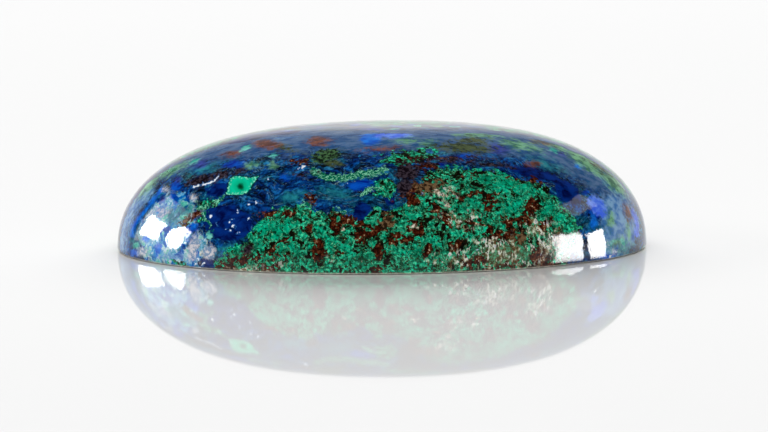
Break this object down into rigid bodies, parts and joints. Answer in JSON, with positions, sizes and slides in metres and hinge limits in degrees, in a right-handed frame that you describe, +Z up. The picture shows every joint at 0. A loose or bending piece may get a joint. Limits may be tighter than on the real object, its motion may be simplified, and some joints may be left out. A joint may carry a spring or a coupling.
{
  "type": "polished cabochon of eilat stone",
  "caption": "Oval domed cabochon of mottled blue and green copper mineral stone, polished all over, with a flat base to rest on or to set in jewellery.",
  "frame": {"origin": "middle of the flat base's box, on the plane that the stone rests on", "axes": "+X along the oval's long axis, +Y across it towards the back, +Z up through the crown"},
  "size_m": [0.04, 0.03, 0.0093],
  "materials": {
    "polished_eilat_stone": "polished"
  },
  "bodies": {
    "root": {"eilat_stone": "polished_eilat_stone"}
  },
  "joints": []
}
